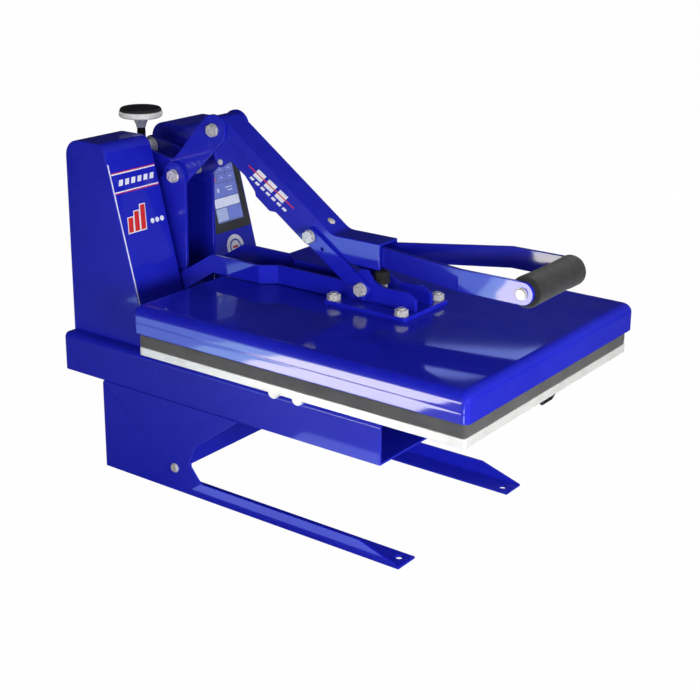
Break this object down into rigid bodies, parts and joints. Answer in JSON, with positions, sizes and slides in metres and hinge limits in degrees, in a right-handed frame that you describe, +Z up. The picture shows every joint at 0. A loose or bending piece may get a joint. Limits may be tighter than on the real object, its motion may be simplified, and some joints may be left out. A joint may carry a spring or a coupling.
{
  "type": "clamshell heat press",
  "caption": "Clamshell heat press with a toggle lever, hinged heated platen, threadable lower platen, pressure knob, two tower covers and a bench stand.",
  "frame": {"origin": "middle of the bottom of the bounding box, on the bench", "axes": "+Z up, -Y towards the operator and the handle, X to the right"},
  "size_m": [0.418, 0.7304, 0.5071],
  "materials": {
    "blue_paint": "glossy powder coat",
    "zinc": "zinc plated",
    "dark_steel": "black oxide",
    "aluminium": "satin machined",
    "silicone_sponge": "matt sponge",
    "grip_foam": "matt foam",
    "rubber": "matt",
    "chrome": "polished",
    "knob_metal": "satin",
    "black_plastic": "moulded",
    "screen": "glossy touch screen",
    "circuit_board": "solder mask",
    "pale_plastic": "moulded",
    "switch_red": "glossy",
    "insulation": "ceramic fibre felt",
    "steel_tube": "plain"
  },
  "bodies": {
    "frame": {"stand_left": "blue_paint", "stand_right": "blue_paint", "stand_cross_plate": "blue_paint", "stand_rear_plate": "blue_paint", "stand_bolts": "zinc", "base_channel": "blue_paint", "base_floor": "blue_paint", "base_bolts": "zinc", "table_support": "blue_paint", "table_latch": "dark_steel", "lower_platen": "aluminium", "silicone_pad": "silicone_sponge", "upright_left": "blue_paint", "upright_right": "blue_paint", "upright_tie": "blue_paint", "screw_seat": "blue_paint", "pressure_pivot_bolt": "zinc", "hinge_shaft": "zinc", "retaining_rings": "dark_steel", "tower_cover_left": "blue_paint", "tower_cover_right": "blue_paint", "rear_panel": "blue_paint", "cover_screws": "zinc", "control_bezel": "black_plastic", "control_screen": "screen", "controller_board": "circuit_board", "solid_state_relay": "black_plastic", "terminal_block": "pale_plastic", "power_inlet": "black_plastic"},
    "pressure_arm": {"pressure_arm_left": "blue_paint", "pressure_arm_right": "blue_paint", "pressure_arm_web": "blue_paint", "trunnion_nut": "zinc", "lever_pivot_bolt": "zinc"},
    "knob": {"pressure_screw": "dark_steel", "knob_neck": "chrome", "knob_rim": "knob_metal", "knob_cap": "black_plastic"},
    "lever": {"lever_channel": "blue_paint", "handle_bar_left": "blue_paint", "handle_bar_right": "blue_paint", "grip_tube": "steel_tube", "grip_foam": "grip_foam", "grip_bolts": "zinc", "stop_bolt": "zinc"},
    "links": {"link_left": "blue_paint", "link_right": "blue_paint", "link_pivot_bolts": "zinc"},
    "platen": {"platen_arm_left": "blue_paint", "platen_arm_right": "blue_paint", "bracket_plate": "blue_paint", "bracket_bolts": "zinc", "bumper": "rubber", "bumper_stud": "zinc", "arm_pivot_bolt": "zinc", "heat_cover": "blue_paint", "insulation_pad": "insulation", "heat_platen": "aluminium", "heating_element": "dark_steel"},
    "mains_switch": {"power_switch": "switch_red"}
  },
  "joints": [
    {"name": "pressure_tilt", "type": "hinge", "parent": "frame", "child": "pressure_arm", "pos_m": [0, 0.24135, 0.4122], "axis": [1, 0, 0], "range_deg": [-0.6, 0.3]},
    {"name": "knob_turn", "type": "hinge", "parent": "frame", "child": "knob", "pos_m": [0, 0.33375, 0.4815], "axis": [0, 0, 1], "range_deg": [-90, 176]},
    {"name": "platen_lift", "type": "hinge", "parent": "frame", "child": "platen", "pos_m": [0, 0.28175, 0.226], "axis": [-1, 0, 0], "range_deg": [0, 33]},
    {"name": "lever_lift", "type": "hinge", "parent": "pressure_arm", "child": "lever", "pos_m": [0, 0.17075, 0.4856], "axis": [-1, 0, 0], "range_deg": [0, 66.5]},
    {"name": "link_swing", "type": "hinge", "parent": "platen", "child": "links", "pos_m": [0, -0.08295, 0.3053], "axis": [-1, 0, 0], "range_deg": [-106, 0.5]},
    {"name": "switch_tip", "type": "hinge", "parent": "frame", "child": "mains_switch", "pos_m": [0.08565, 0.34835, 0.2555], "axis": [1, 0, 0], "range_deg": [-8, 8]}
  ],
  "couplings": [
    {"joint": "knob_turn", "follows": "pressure_tilt", "ratio": -290.3},
    {"joint": "lever_lift", "follows": "platen_lift", "ratio": 2.002},
    {"joint": "link_swing", "follows": "platen_lift", "ratio": -3.1967}
  ]
}
